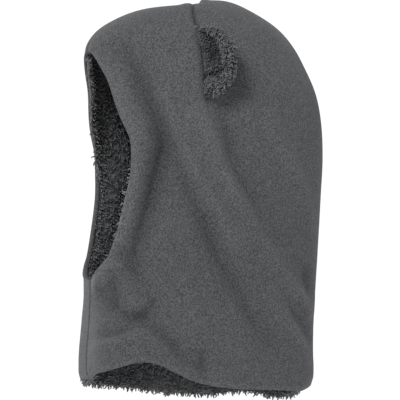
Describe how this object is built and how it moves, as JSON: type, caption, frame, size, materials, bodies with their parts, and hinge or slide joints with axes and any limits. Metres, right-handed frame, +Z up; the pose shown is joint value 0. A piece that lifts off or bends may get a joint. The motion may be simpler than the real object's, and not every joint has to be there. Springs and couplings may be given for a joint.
{
  "type": "baby fleece hood with ears",
  "caption": "Pull-on fleece hood for a small child, with a tall oval face opening, a long neck, a curly pile lining and small round pile ears.",
  "frame": {"origin": "where the top of the wearer's head meets the lining, on the middle plane under the crown", "axes": "+X to the wearer's left, -Y the way the face looks, +Z up"},
  "size_m": [0.1832, 0.1865, 0.3046],
  "materials": {
    "fleece": "matt brushed fleece, dark grey",
    "pile": "matt curly pile, dark grey"
  },
  "bodies": {
    "root": {"shell_left": "fleece", "shell_right": "fleece", "lining_left": "pile", "lining_right": "pile", "ear_left": "pile", "ear_right": "pile"}
  },
  "joints": []
}
